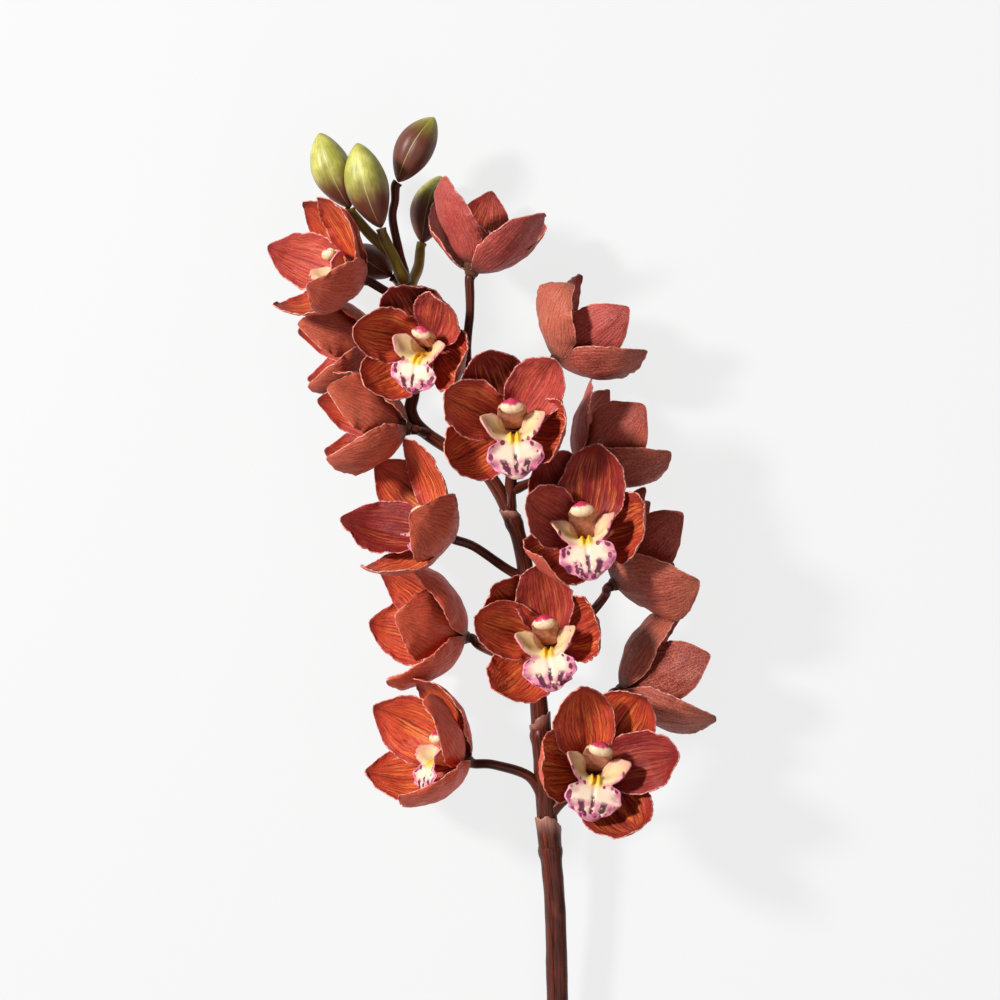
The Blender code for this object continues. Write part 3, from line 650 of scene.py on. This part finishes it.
def tepal_look():
    look, tree, shader = surface("sepal and petal")
    deep, shaded, rust = (0.085, 0.006, 0.004), (0.185, 0.006, 0.007), (0.47, 0.040, 0.011)
    painted_lit_red, orange = (0.74, 0.090, 0.030), (0.80, 0.20, 0.036)
    coral, sheen_rose = (0.66, 0.15, 0.065), (0.52, 0.080, 0.066)
    dark_margin, sheen_margin, pale_rim = (0.25, 0.012, 0.012), (0.42, 0.050, 0.050), (0.74, 0.36, 0.27)
    vein, back_vein, dry_tip = (0.12, 0.006, 0.006), (0.09, 0.010, 0.008), (0.12, 0.02, 0.012)
    back_dark, back_brown, back_painted_glow = (0.22, 0.026, 0.018), (0.40, 0.100, 0.054), (0.78, 0.085, 0.028)
    back_sheen_rose, back_tan, back_grain = (0.40, 0.042, 0.046), (0.74, 0.28, 0.14), (0.08, 0.010, 0.008)
    back_crackle, back_claw, hub_brown = (0.56, 0.19, 0.11), (0.075, 0.020, 0.010), (0.085, 0.028, 0.012)

    u, along, edge, outer, painted_sheen, painted_light, seed = (attribute(tree, name) for name in BLADE_LAYERS)
    inputs = {"Across": u, "Along": along, "Seed": seed, "Veins": 8.5, "Breaks": 1.1}
    veins = add(tree, "Group", inputs, node_tree=VEINS)
    places = add(tree, "TexCoord").outputs["Object"]
    mottle = noise_at(tree, places, 120, 4, 0.6)
    broad = noise_at(tree, places, 30, 2)
    inside = stepped(tree, edge, 1.5, 8.0)
    middle = times(tree, stepped(tree, along, 0.02, 0.22), stepped(tree, along, 0.98, 0.60))
    glow = times(tree, stepped(tree, veins.outputs["Streak"], 0.47, 0.62), times(tree, inside, middle))
    chance = add(tree, "TexWhiteNoise", {"W": seed}, noise_dimensions="1D").outputs["Value"]
    # Painted light and shade: a blade's painted light tips its random patches from the shaded red towards the
    # rust red, paints the bright red over them and strengthens the orange streaks; below zero it paints
    # shade.
    patches = reckon(tree, "MULTIPLY_ADD", painted_light, 0.5, reckon(tree, "MULTIPLY_ADD", chance, 0.50, broad))
    patches = stepped(tree, patches, 0.48, 1.05)
    colour = mixed(tree, patches, shaded, rust)
    colour = mixed(tree, times(tree, painted_light, 0.65), colour, painted_lit_red)
    colour = mixed(tree, times(tree, glow, reckon(tree, "MULTIPLY_ADD", painted_light, 0.5, 0.75)), colour, orange)
    # Painted sheen: a rose tint where the blade catches light at a glancing angle, also on its margin, its
    # fainter veins and its back.
    colour = mixed(tree, times(tree, painted_sheen, 0.75), colour, sheen_rose)
    margin = times(tree, stepped(tree, edge, 5.0, 0.8), 0.65)
    colour = mixed(tree, margin, colour, mixed(tree, painted_sheen, dark_margin, sheen_margin))
    line = times(tree, veins.outputs["Vein"], stepped(tree, edge, 0.8, 4.0, 0.05, 0.80))
    line = times(tree, line, stepped(tree, mottle, 0.36, 0.60, 0.1, 0.9))
    line = times(tree, line, reckon(tree, "MULTIPLY_ADD", painted_sheen, -0.40, 1.0))
    colour = mixed(tree, line, colour, vein)
    keel = times(tree, stepped(tree, reckon(tree, "ABSOLUTE", u), 0.07, 0.01), 0.45)
    colour = mixed(tree, keel, colour, deep)
    # Darker towards the hub: partly the blades' own deep base, partly painted shade in the throat.
    colour = mixed(tree, stepped(tree, along, 0.24, 0.0, 0, 0.8), colour, deep)
    colour = mixed(tree, times(tree, stepped(tree, along, 0.93, 1.0), 0.6), colour, dry_tip)
    colour = mixed(tree, stepped(tree, veins.outputs["Grain"], 0.55, 0.32, 0, 0.62), colour, deep)
    inner_colour = mixed(tree, stepped(tree, veins.outputs["Grain"], 0.56, 0.74, 0, 0.42), colour, coral)

    back = mixed(tree, patches, back_dark, back_brown)
    # Painted light on the back: the glow of light shining through the blade, painted in bright red, which
    # also thins the tan crackle.
    back = mixed(tree, times(tree, painted_light, 0.85), back, back_painted_glow)
    back = mixed(tree, times(tree, painted_sheen, 0.85), back, back_sheen_rose)
    tan = reckon(tree, "MULTIPLY_ADD", reckon(tree, "ADD", painted_light, painted_sheen), -0.26, 0.50)
    back = mixed(tree, times(tree, stepped(tree, veins.outputs["Grain"], 0.50, 0.74), tan), back, back_tan)
    back = mixed(tree, stepped(tree, veins.outputs["Grain"], 0.52, 0.32, 0, 0.60), back, back_grain)
    back = mixed(tree, times(tree, line, 0.55), back, back_vein)
    crackle = add(tree, "TexVoronoi", {"Vector": places, "Scale": 520.0}, feature="DISTANCE_TO_EDGE")
    crackle = stepped(tree, crackle.outputs["Distance"], 0.10, 0.0)
    back = mixed(tree, times(tree, crackle, tan), back, back_crackle)
    back = mixed(tree, stepped(tree, along, 0.22, -0.02), back, back_claw)
    colour = mixed(tree, outer, inner_colour, back)

    ticks = stepped(tree, noise_at(tree, places, 500, 3), 0.40, 0.60, 0.15, 1)
    rim = times(tree, stepped(tree, edge, 0.75, 0.25), ticks)
    colour = mixed(tree, times(tree, rim, 0.80), colour, pale_rim)
    colour = mixed(tree, stepped(tree, along, -0.1, -0.25), colour, hub_brown)
    crinkle = noise_at(tree, stretched(tree, places, (260, 260, 260)), 1.0, 5, 0.65)
    height = reckon(tree, "MULTIPLY_ADD", veins.outputs["Vein"], -0.35, crinkle)
    height = reckon(tree, "MULTIPLY_ADD", veins.outputs["Grain"], 0.8, height)
    fill(tree, shader, {
        "Base Color": colour, "Roughness": stepped(tree, mottle, 0.3, 0.7, 0.42, 0.62),
        "Specular IOR Level": 0.30, "Subsurface Weight": 0.14, "Subsurface Scale": 2.0 * MM,
        "Subsurface Radius": (1.0, 0.20, 0.08), "Normal": bumped(tree, height, 0.65, 0.6 * MM),
    })
    return look


tepal_surface = tepal_look()
for number, name in enumerate(BLOOM_PLACES):
    bm = bmesh.new()
    for layer_name in BLADE_LAYERS:
        bm.verts.layers.float.new(layer_name)
    bm.verts.layers.int.new("placed")
    for index, blade in enumerate(blades_of(name)):
        blade_sheet(bm, blade, number * 5.0 + index)
    hub(bm)
    bmesh.ops.recalc_face_normals(bm, faces=bm.faces)
    set_on_stem(bm, name)
    outer = bm.verts.layers.float["outer"]
    for vertex in bm.verts:
        vertex.co.z = max(vertex.co.z, RESTING_THICKNESS * (1 - vertex[outer]))
    finished(name + "_blades", bm, name + "_tepals", tepal_surface)

# The lips: one on each bloom, cream and fleshy, with two ears beside the column and a broad front lobe that
# turns down. Two yellow ridges run along the throat, and the lobes are ruffled, magenta and maroon.
LIP_LENGTH = 47
LIP_THICKNESS = 0.9 * MM
LIP_ROWS, LIP_COLUMNS = 62, 44
LIP_PATH_STEPS, LIP_SECTION_STEPS = 248, 12
LIP_LAYERS = ("across", "along", "edge", "outer", "seed")
LIP_LEAN = [(0, 14), (0.36, 6), (0.50, 64), (0.64, 84), (0.82, 98), (1, 140)]
LIP_HALF = [(0, 3.5), (0.12, 8), (0.20, 11.5), (0.28, 16), (0.35, 20.5), (0.41, 23.5), (0.46, 18),
            (0.51, 9.5), (0.60, 15.5), (0.72, 16.5), (0.85, 12.5), (0.95, 7.5), (1, 4.5)]
LIP_BEND = [(0, 60), (0.20, 108), (0.29, 114), (0.41, 86), (0.46, 74), (0.51, 26), (0.64, 6), (1, -36)]
LIP_FLARE = [(0, 0), (0.24, 0), (0.34, 22), (0.42, 42), (0.51, 10), (0.6, 0), (1, 0)]
RUFFLE, RUFFLE_LENGTH = 1.5, 7.4
RUFFLE_WAVER, WAVER_LENGTH = 0.9, 3
EAR_WAVE, EAR_WAVE_LENGTH = 0.8, 5
RIDGE, RIDGE_PLACE, RIDGE_WIDTH = 2.3, 2.2, 1.15
GROOVE, GROOVE_WIDTH = 0.7, 1.2
LIP_SCALES = dict(zip(BLOOM_PLACES, (
    0.76, 0.62, 0.80, 0.62, 0.94, 0.70, 0.66, 0.70,
    0.72, 0.94, 0.70, 0.62, 0.90, 0.70, 0.76, 0.94,
)))


def between(knots, share):
    """A value read from (place, value) knots, easing from each to the next."""
    for (start, low), (end, high) in zip(knots, knots[1:]):
        if share <= end:
            return low + (high - low) * smooth((share - start) / (end - start))
    return knots[-1][1]


def lip_section(share, across):
    """A point's place sideways and inwards, the surface's lean there, and the lip's half width."""
    bend, flare = radians(between(LIP_BEND, share)), radians(between(LIP_FLARE, share))
    half = between(LIP_HALF, share)
    sideways, inwards, lean = 0.0, 0.0, 0.0
    for step in range(LIP_SECTION_STEPS):
        at = abs(across) * (step + 0.5) / LIP_SECTION_STEPS
        lean = bend * at - flare * smooth((at - 0.6) / 0.4)
        sideways += cos(lean) * half * abs(across) / LIP_SECTION_STEPS
        inwards += sin(lean) * half * abs(across) / LIP_SECTION_STEPS
    return copysign(sideways, across), inwards, copysign(lean, across), half


def lip(name, scale, seed):
    """A trough with two ears, then a lobe that turns down, made as a sheet and given a back."""
    bm = bmesh.new()
    layer = {key: bm.verts.layers.float.new(key) for key in LIP_LAYERS}
    bmesh.ops.create_grid(bm, x_segments=LIP_COLUMNS, y_segments=LIP_ROWS, size=1)
    point = Vector((0, -3.6 * MM, HUB_TOP + SEAT_GAP + 0.15 * MM))
    path = []
    for step in range(LIP_PATH_STEPS + 1):
        lean = radians(between(LIP_LEAN, step / LIP_PATH_STEPS))
        path.append((point.copy(), Vector((0, cos(lean), sin(lean)))))
        point += Vector((0, -sin(lean), cos(lean))) * (LIP_LENGTH * MM * scale / LIP_PATH_STEPS)
    steps = {}
    for vertex in bm.verts:
        share = round((vertex.co.y + 1) / 2 * LIP_ROWS) / LIP_ROWS
        across = copysign(abs(vertex.co.x) ** 1.25, vertex.co.x)
        point, inner = path[round(share * LIP_PATH_STEPS)]
        sideways, inwards, lean, half = lip_section(share, across)
        x, y = across * half, share * LIP_LENGTH
        margin = smooth((abs(across) - 0.5) / 0.5)
        lobe = smooth((share - 0.50) / 0.10)
        ear = smooth((share - 0.2) / 0.12) * (1 - lobe)
        ruffle = sin(y * 2 * pi / RUFFLE_LENGTH + seed + copysign(1, x))
        waver = wavy(y / WAVER_LENGTH, copysign(3, x), seed)
        ear_wave = wavy(y / EAR_WAVE_LENGTH, copysign(4, x), seed)
        lift = RUFFLE * lobe * margin * ruffle
        lift += RUFFLE_WAVER * lobe * margin * waver
        lift += EAR_WAVE * ear * margin * ear_wave
        ridge = smooth((share - 0.20) / 0.12) * (1 - smooth((share - 0.50) / 0.05))
        lift += RIDGE * ridge * exp(-(((abs(x) - RIDGE_PLACE) / RIDGE_WIDTH) ** 2))
        lift -= GROOVE * lobe * exp(-((x / GROOVE_WIDTH) ** 2)) * (1 - smooth((share - 0.85) / 0.1))
        normal = inner * cos(lean) - Vector((sin(lean), 0, 0))
        vertex.co = point + (Vector((sideways, 0, 0)) + inner * inwards + normal * lift) * MM * scale
        edge = min((1 - abs(across)) * half, (1 - share) * LIP_LENGTH + 0.01)
        for key, value in dict(across=x, along=share, edge=edge, seed=seed).items():
            vertex[layer[key]] = value
        steps[tuple(vertex.co)] = normal * -LIP_THICKNESS
    for vertex in backed(bm, bm.faces[:], steps):
        vertex[layer["outer"]] = 1
    bmesh.ops.recalc_face_normals(bm, faces=bm.faces)
    set_on_stem(bm, name)
    return bm


def lip_look():
    look, tree, shader = surface("lip")
    cream, foot_cream, lobe_cream = (0.68, 0.50, 0.26), (0.66, 0.50, 0.22), (0.74, 0.56, 0.42)
    yellow, magenta, pink = (0.78, 0.44, 0.015), (0.52, 0.060, 0.20), (0.60, 0.11, 0.26)
    crimson, maroon, rim_pink = (0.17, 0.008, 0.052), (0.075, 0.004, 0.022), (0.78, 0.34, 0.48)
    back_cream, back_pink = (0.76, 0.52, 0.30), (0.62, 0.16, 0.26)

    x, along, edge, outer, seed = (attribute(tree, name) for name in LIP_LAYERS)
    y = times(tree, along, LIP_LENGTH)
    flat = add(tree, "CombineXYZ", {"X": x, "Y": y, "Z": times(tree, seed, 9.1)}).outputs[0]
    wobble = noise_at(tree, flat, 0.35, 3)
    wide = reckon(tree, "ABSOLUTE", reckon(tree, "MULTIPLY_ADD", wobble, 3.0, reckon(tree, "ADD", x, -1.5)))
    lobe = stepped(tree, along, 0.50, 0.58)
    colour = mixed(tree, stepped(tree, along, 0.05, 0.42, 0.9, 0), cream, foot_cream)
    colour = mixed(tree, lobe, colour, lobe_cream)
    throat = stepped(tree, reckon(tree, "ABSOLUTE", x), 5.5, 2.2)
    throat = times(tree, throat, stepped(tree, along, 0.60, 0.48))
    colour = mixed(tree, times(tree, throat, 0.95), colour, yellow)
    blush = times(tree, stepped(tree, edge, 8.5, 0.0), stepped(tree, along, 0.34, 0.60, 0.45, 1))
    blush = times(tree, blush, stepped(tree, noise_at(tree, flat, 0.16, 3), 0.30, 0.54))
    colour = mixed(tree, times(tree, blush, 0.85), colour, magenta)
    inputs = {"Vector": stretched(tree, flat, (1, 0.75, 1)), "Scale": 0.27, "Randomness": 0.8}
    spots = add(tree, "TexVoronoi", inputs, feature="F1").outputs["Distance"]
    near_margin = times(tree, stepped(tree, edge, 11.0, 1.5), stepped(tree, along, 0.33, 0.56))
    size = reckon(tree, "MULTIPLY_ADD", near_margin, 0.44, 0.03)
    spot = reckon(tree, "SUBTRACT", reckon(tree, "MULTIPLY_ADD", wobble, 0.25, spots), size)
    colour = mixed(tree, times(tree, stepped(tree, spot, 0.17, 0.09), 0.94), colour, crimson)
    side_patch = reckon(tree, "SUBTRACT", wide, reckon(tree, "MULTIPLY_ADD", along, -14.0, 17.2))
    side_patch = stepped(tree, reckon(tree, "ABSOLUTE", side_patch), 2.4, 1.4)
    reaching = times(tree, stepped(tree, along, 0.70, 0.77), stepped(tree, along, 0.97, 0.90))
    side_patch = times(tree, side_patch, reaching)
    middle = times(tree, stepped(tree, along, 0.64, 0.70), stepped(tree, along, 0.95, 0.88))
    keel = times(tree, stepped(tree, wide, 1.4, 0.7), middle)
    patch = reckon(tree, "MAXIMUM", side_patch, keel)
    halo = times(tree, reaching, stepped(tree, noise_at(tree, flat, 0.22, 2), 0.38, 0.56, 0, 0.65))
    colour = mixed(tree, halo, colour, pink)
    patch = times(tree, patch, stepped(tree, noise_at(tree, flat, 0.32, 2), 0.36, 0.46))
    colour = mixed(tree, times(tree, patch, 0.95), colour, maroon)
    rim = times(tree, stepped(tree, edge, 1.3, 0.4), lobe)
    colour = mixed(tree, times(tree, rim, 0.7), colour, rim_pink)
    back = mixed(tree, stepped(tree, edge, 9.0, 0.5), back_cream, back_pink)
    colour = mixed(tree, outer, colour, back)
    fine = noise_at(tree, stretched(tree, flat, (2.2, 1.1, 1)), 1.0, 4, 0.6)
    fill(tree, shader, {
        "Base Color": colour, "Roughness": 0.45, "Specular IOR Level": 0.25, "Subsurface Weight": 0.20,
        "Subsurface Radius": (1.0, 0.6, 0.4), "Subsurface Scale": 1.6 * MM,
        "Normal": bumped(tree, fine, 0.25, 0.5 * MM),
    })
    return look


lip_surface = lip_look()
for number, (name, scale) in enumerate(LIP_SCALES.items()):
    finished(name + "_lip_fine", lip(name, scale, number + 0.5), name + "_lip", lip_surface)

# The columns: the arched finger above each lip, with a flat face towards the lip that is painted brown as the
# shade under the arch over its own tan, and, at its tip, the cream anther cap with a crimson crest. It grew
# from the same hub as the lip.
COLUMN_LENGTH = 27
COLUMN_LEAN = [(0, 14), (0.45, 38), (0.75, 24), (1, -40)]
COLUMN_HALF = [(0, 3.4), (0.15, 7.0), (0.5, 8.6), (0.8, 8.2), (0.94, 6.2), (1, 2.4)]
COLUMN_THICK = [(0, 2.4), (0.5, 2.6), (0.8, 3.4), (1, 1.6)]
COLUMN_STEPS = 60
FLAT_FACE = 0.35
CAP_PLACE = 0.90
CAP_HALF, CAP_HEIGHT, CAP_DEPTH, CAP_CREST = 6.8, 4.2, 4.2, 0.9


def column(name, scale):
    """A finger bent over the lip, hollowed in front, and the anther cap on its tip."""
    bm = bmesh.new()
    cap, belly, crimson = (bm.verts.layers.float.new(key) for key in ("cap", "belly", "crimson"))
    made = bmesh.ops.create_uvsphere(bm, u_segments=36, v_segments=26, radius=1)
    point = Vector((0, -0.8 * MM, HUB_TOP + SEAT_GAP))
    spine = []
    for step in range(COLUMN_STEPS + 1):
        lean = radians(between(COLUMN_LEAN, step / COLUMN_STEPS))
        spine.append((point.copy(), Vector((0, cos(lean), -sin(lean)))))
        ahead = Vector((0, sin(lean), cos(lean)))
        point = point + ahead * (COLUMN_LENGTH * MM * scale / COLUMN_STEPS)
    for vertex in made["verts"]:
        share = acos(max(-1, min(1, -vertex.co.z))) / pi
        at, back = spine[round(share * COLUMN_STEPS)]
        ring = hypot(vertex.co.x, vertex.co.y)
        x, y = (vertex.co.x / ring, vertex.co.y / ring) if ring > 1e-6 else (0, 0)
        half = between(COLUMN_HALF, share) * MM * scale
        thick = between(COLUMN_THICK, share) * MM * scale
        x = copysign(abs(x) ** 0.75, x)
        vertex[belly] = 1 if y < -0.02 else 0
        hollow = 0.30 * (1 - x * x) * smooth(share * 4) if y < 0 else 0
        height = y * thick if y > 0 else y * thick * FLAT_FACE
        vertex.co = at + Vector((x * half, 0, 0)) + back * (height + hollow * thick)
    end, back = spine[round(CAP_PLACE * COLUMN_STEPS)]
    ahead = Vector((0, -back.z, back.y))
    made = bmesh.ops.create_uvsphere(bm, u_segments=28, v_segments=18, radius=1)
    for vertex in made["verts"]:
        vertex[cap] = 1
        x, y, z = vertex.co
        crest = CAP_CREST * exp(-((x / 0.35) ** 2)) * max(y, 0)
        vertex[crimson] = smooth((y + 0.15 - 0.25 * abs(x)) / 0.75)
        notch = 0.25 * exp(-((x / 0.12) ** 2)) * max(z, 0)
        swell = Vector((x * CAP_HALF, 0, 0)) + back * (y * CAP_HEIGHT + crest + 0.4)
        swell += ahead * (z * CAP_DEPTH - notch + 0.8)
        vertex.co = end + swell * MM * scale
    bmesh.ops.recalc_face_normals(bm, faces=bm.faces)
    set_on_stem(bm, name)
    return bm


def column_look():
    look, tree, shader = surface("column")
    panel_shade_brown, panel_tan = (0.36, 0.12, 0.070), (0.56, 0.24, 0.15)
    back_cream, back_pink = (0.62, 0.42, 0.22), (0.66, 0.28, 0.26)
    cap_cream, cap_crimson, fleck = (0.74, 0.54, 0.34), (0.46, 0.022, 0.075), (0.60, 0.10, 0.16)

    cap, belly, crimson = (attribute(tree, name) for name in ("cap", "belly", "crimson"))
    places = add(tree, "TexCoord").outputs["Object"]
    fine = noise_at(tree, places, 420, 4, 0.6)
    flecks = noise_at(tree, places, 900, 2)
    # The face towards the lip is painted brown as the shade under the arch, over its own tan.
    shaded_panel = mixed(tree, stepped(tree, fine, 0.35, 0.7), panel_shade_brown, panel_tan)
    back = mixed(tree, stepped(tree, fine, 0.4, 0.7), back_cream, back_pink)
    colour = mixed(tree, belly, back, shaded_panel)
    crimson = reckon(tree, "MULTIPLY_ADD", reckon(tree, "SUBTRACT", fine, 0.5), 1.6, crimson)
    crown = mixed(tree, stepped(tree, crimson, 0.40, 0.95), cap_cream, cap_crimson)
    crown = mixed(tree, stepped(tree, flecks, 0.58, 0.70, 0, 0.8), crown, fleck)
    colour = mixed(tree, cap, colour, crown)
    fill(tree, shader, {
        "Base Color": colour, "Roughness": 0.45, "Subsurface Weight": 0.2,
        "Subsurface Radius": (1.0, 0.5, 0.35), "Subsurface Scale": 1.5 * MM,
        "Normal": bumped(tree, fine, 0.25, 0.4 * MM),
    })
    return look


column_surface = column_look()
for name, scale in LIP_SCALES.items():
    finished(name + "_column_fine", column(name, scale), name + "_column", column_surface)

# The buds: five closed blooms at the tip of the stem, yellow-green where they are young and maroon towards
# the foot, with the edges of the folded sepals showing as shallow seams.
BUD_BOW = 1.2 * MM
SEAM_DEPTH, SEAM_TURN = 0.055, 0.35
BUD_RIB_DEPTH, BUD_UNEVEN = 0.012, 0.03
BUD_LAYERS = ("along", "around", "green")


def bud(name):
    """A blunt spindle from its foot to its tip, bowed a little, with three seams that turn round it."""
    foot, tip, half, green = BUDS[name]
    foot, tip = seen(*foot), seen(*tip)
    bm = bmesh.new()
    layer = {key: bm.verts.layers.float.new(key) for key in BUD_LAYERS}
    bmesh.ops.create_uvsphere(bm, u_segments=48, v_segments=36, radius=1)
    along = tip - foot
    seed = 5 + green * 9
    for vertex in bm.verts:
        share = (1 + max(-1, min(1, vertex.co.z))) / 2
        angle = atan2(vertex.co.y, vertex.co.x)
        thick = half * MM * sin(pi * share**1.05) ** 0.66 if 0 < share < 1 else 0
        seam = 0.5 + 0.5 * cos(3 * (angle + 0.5 + SEAM_TURN * share))
        thick *= 1 - SEAM_DEPTH * seam**14 + BUD_RIB_DEPTH * cos(6 * angle)
        uneven = wavy(cos(angle), sin(angle), share * 3 + seed)
        thick *= 1 + BUD_UNEVEN * uneven
        lean = BUD_BOW * sin(share * pi)
        for key, value in dict(along=share, around=angle / pi, green=green).items():
            vertex[layer[key]] = value
        vertex.co = Vector((cos(angle) * thick + lean, sin(angle) * thick, share * along.length))
    pose = Matrix.Translation(foot) @ along.to_track_quat("Z", "Y").to_matrix().to_4x4()
    bmesh.ops.transform(bm, matrix=pose, verts=bm.verts)
    bmesh.ops.recalc_face_normals(bm, faces=bm.faces)
    return bm


def bud_look():
    look, tree, shader = surface("bud")
    olive, yellow_green, seam_green = (0.30, 0.29, 0.045), (0.50, 0.47, 0.12), (0.50, 0.47, 0.15)
    dark_maroon, maroon, vein = (0.060, 0.010, 0.006), (0.16, 0.045, 0.024), (0.10, 0.04, 0.015)

    along, around, green = (attribute(tree, name) for name in BUD_LAYERS)
    inputs = {"Across": around, "Along": along, "Seed": green, "Veins": 14.0, "Breaks": 0.6}
    veins = add(tree, "Group", inputs, node_tree=VEINS)
    places = add(tree, "TexCoord").outputs["Object"]
    mottle = noise_at(tree, places, 90, 4)
    height = reckon(tree, "MULTIPLY_ADD", reckon(tree, "SUBTRACT", veins.outputs["Streak"], 0.5), 0.28, along)
    height = reckon(tree, "MULTIPLY_ADD", reckon(tree, "SUBTRACT", green, 0.5), 0.62, height)
    young = stepped(tree, height, 0.54, 0.98)
    tip = mixed(tree, stepped(tree, mottle, 0.35, 0.65), olive, yellow_green)
    colour = mixed(tree, young, mixed(tree, mottle, dark_maroon, maroon), tip)
    colour = mixed(tree, times(tree, veins.outputs["Vein"], 0.3), colour, vein)
    turned = reckon(tree, "SINE", reckon(tree, "MULTIPLY_ADD", around, 1.5 * pi, 0.95))
    midline = stepped(tree, reckon(tree, "ABSOLUTE", turned), 0.050, 0.015)
    colour = mixed(tree, times(tree, midline, 0.55), colour, seam_green)
    fill(tree, shader, {
        "Base Color": colour, "Roughness": 0.42, "Specular IOR Level": 0.35, "Subsurface Weight": 0.15,
        "Subsurface Radius": (1.0, 0.8, 0.3), "Subsurface Scale": 2 * MM,
        "Normal": bumped(tree, veins.outputs["Grain"], 0.25, 0.4 * MM),
    })
    return look


bud_surface = bud_look()
for name in BUDS:
    finished(name + "_fine", bud(name), name, bud_surface)

# The setting: a plain pale surface under the stem, soft light from the left and above, and the camera
# straight above at the photograph's viewing angle.
FLOOR_SIZE = 8.0
SENSOR = 36
PHOTO_WIDTH = 1000
floor_mesh = bpy.data.meshes.new("floor")
bm = bmesh.new()
bmesh.ops.create_grid(bm, x_segments=1, y_segments=1, size=FLOOR_SIZE / 2)
bm.to_mesh(floor_mesh)
bm.free()
floor = put("floor", floor_mesh)
floor_look, floor_tree, floor_shader = surface("pale floor")
fill(floor_tree, floor_shader, {
    "Base Color": (0.09, 0.09, 0.09, 1), "Roughness": 1.0, "Specular IOR Level": 0.0,
    "Emission Color": (1, 1, 1, 1), "Emission Strength": 0.80,
})
floor_mesh.materials.append(floor_look)
floor.location.z = -0.2 * MM


def soft_light(name, place, aim, size, power):
    lamp = bpy.data.lights.new(name, "AREA")
    lamp.size = size
    lamp.energy = power
    made = put(name, lamp)
    made.location = place
    made.rotation_euler = (Vector(aim) - Vector(place)).to_track_quat("-Z", "Y").to_euler()


soft_light("window", (-1.45, 0.75, 1.55), (0, 0.1, 0.05), 0.28, 76)
soft_light("fill", (0.6, -0.9, 1.9), (0, 0.1, 0.05), 1.4, 10)
world = bpy.data.worlds.new("studio")
bpy.context.scene.world = world
world.use_nodes = True
fill(world.node_tree, world.node_tree.nodes["Background"], {"Color": (1, 1, 1, 1), "Strength": 0.24})
bpy.context.scene.view_settings.view_transform = "Standard"

camera_data = bpy.data.cameras.new("camera")
camera_data.sensor_width = SENSOR
camera_data.lens = SENSOR * (VIEW_HEIGHT - STEM_HEIGHT) / (PHOTO_WIDTH * PIXEL)
camera = put("camera", camera_data)
camera.location = ((VIEW_COLUMN - ORIGIN_COLUMN) * PIXEL, (ORIGIN_ROW - VIEW_ROW) * PIXEL, VIEW_HEIGHT)
bpy.context.scene.camera = camera
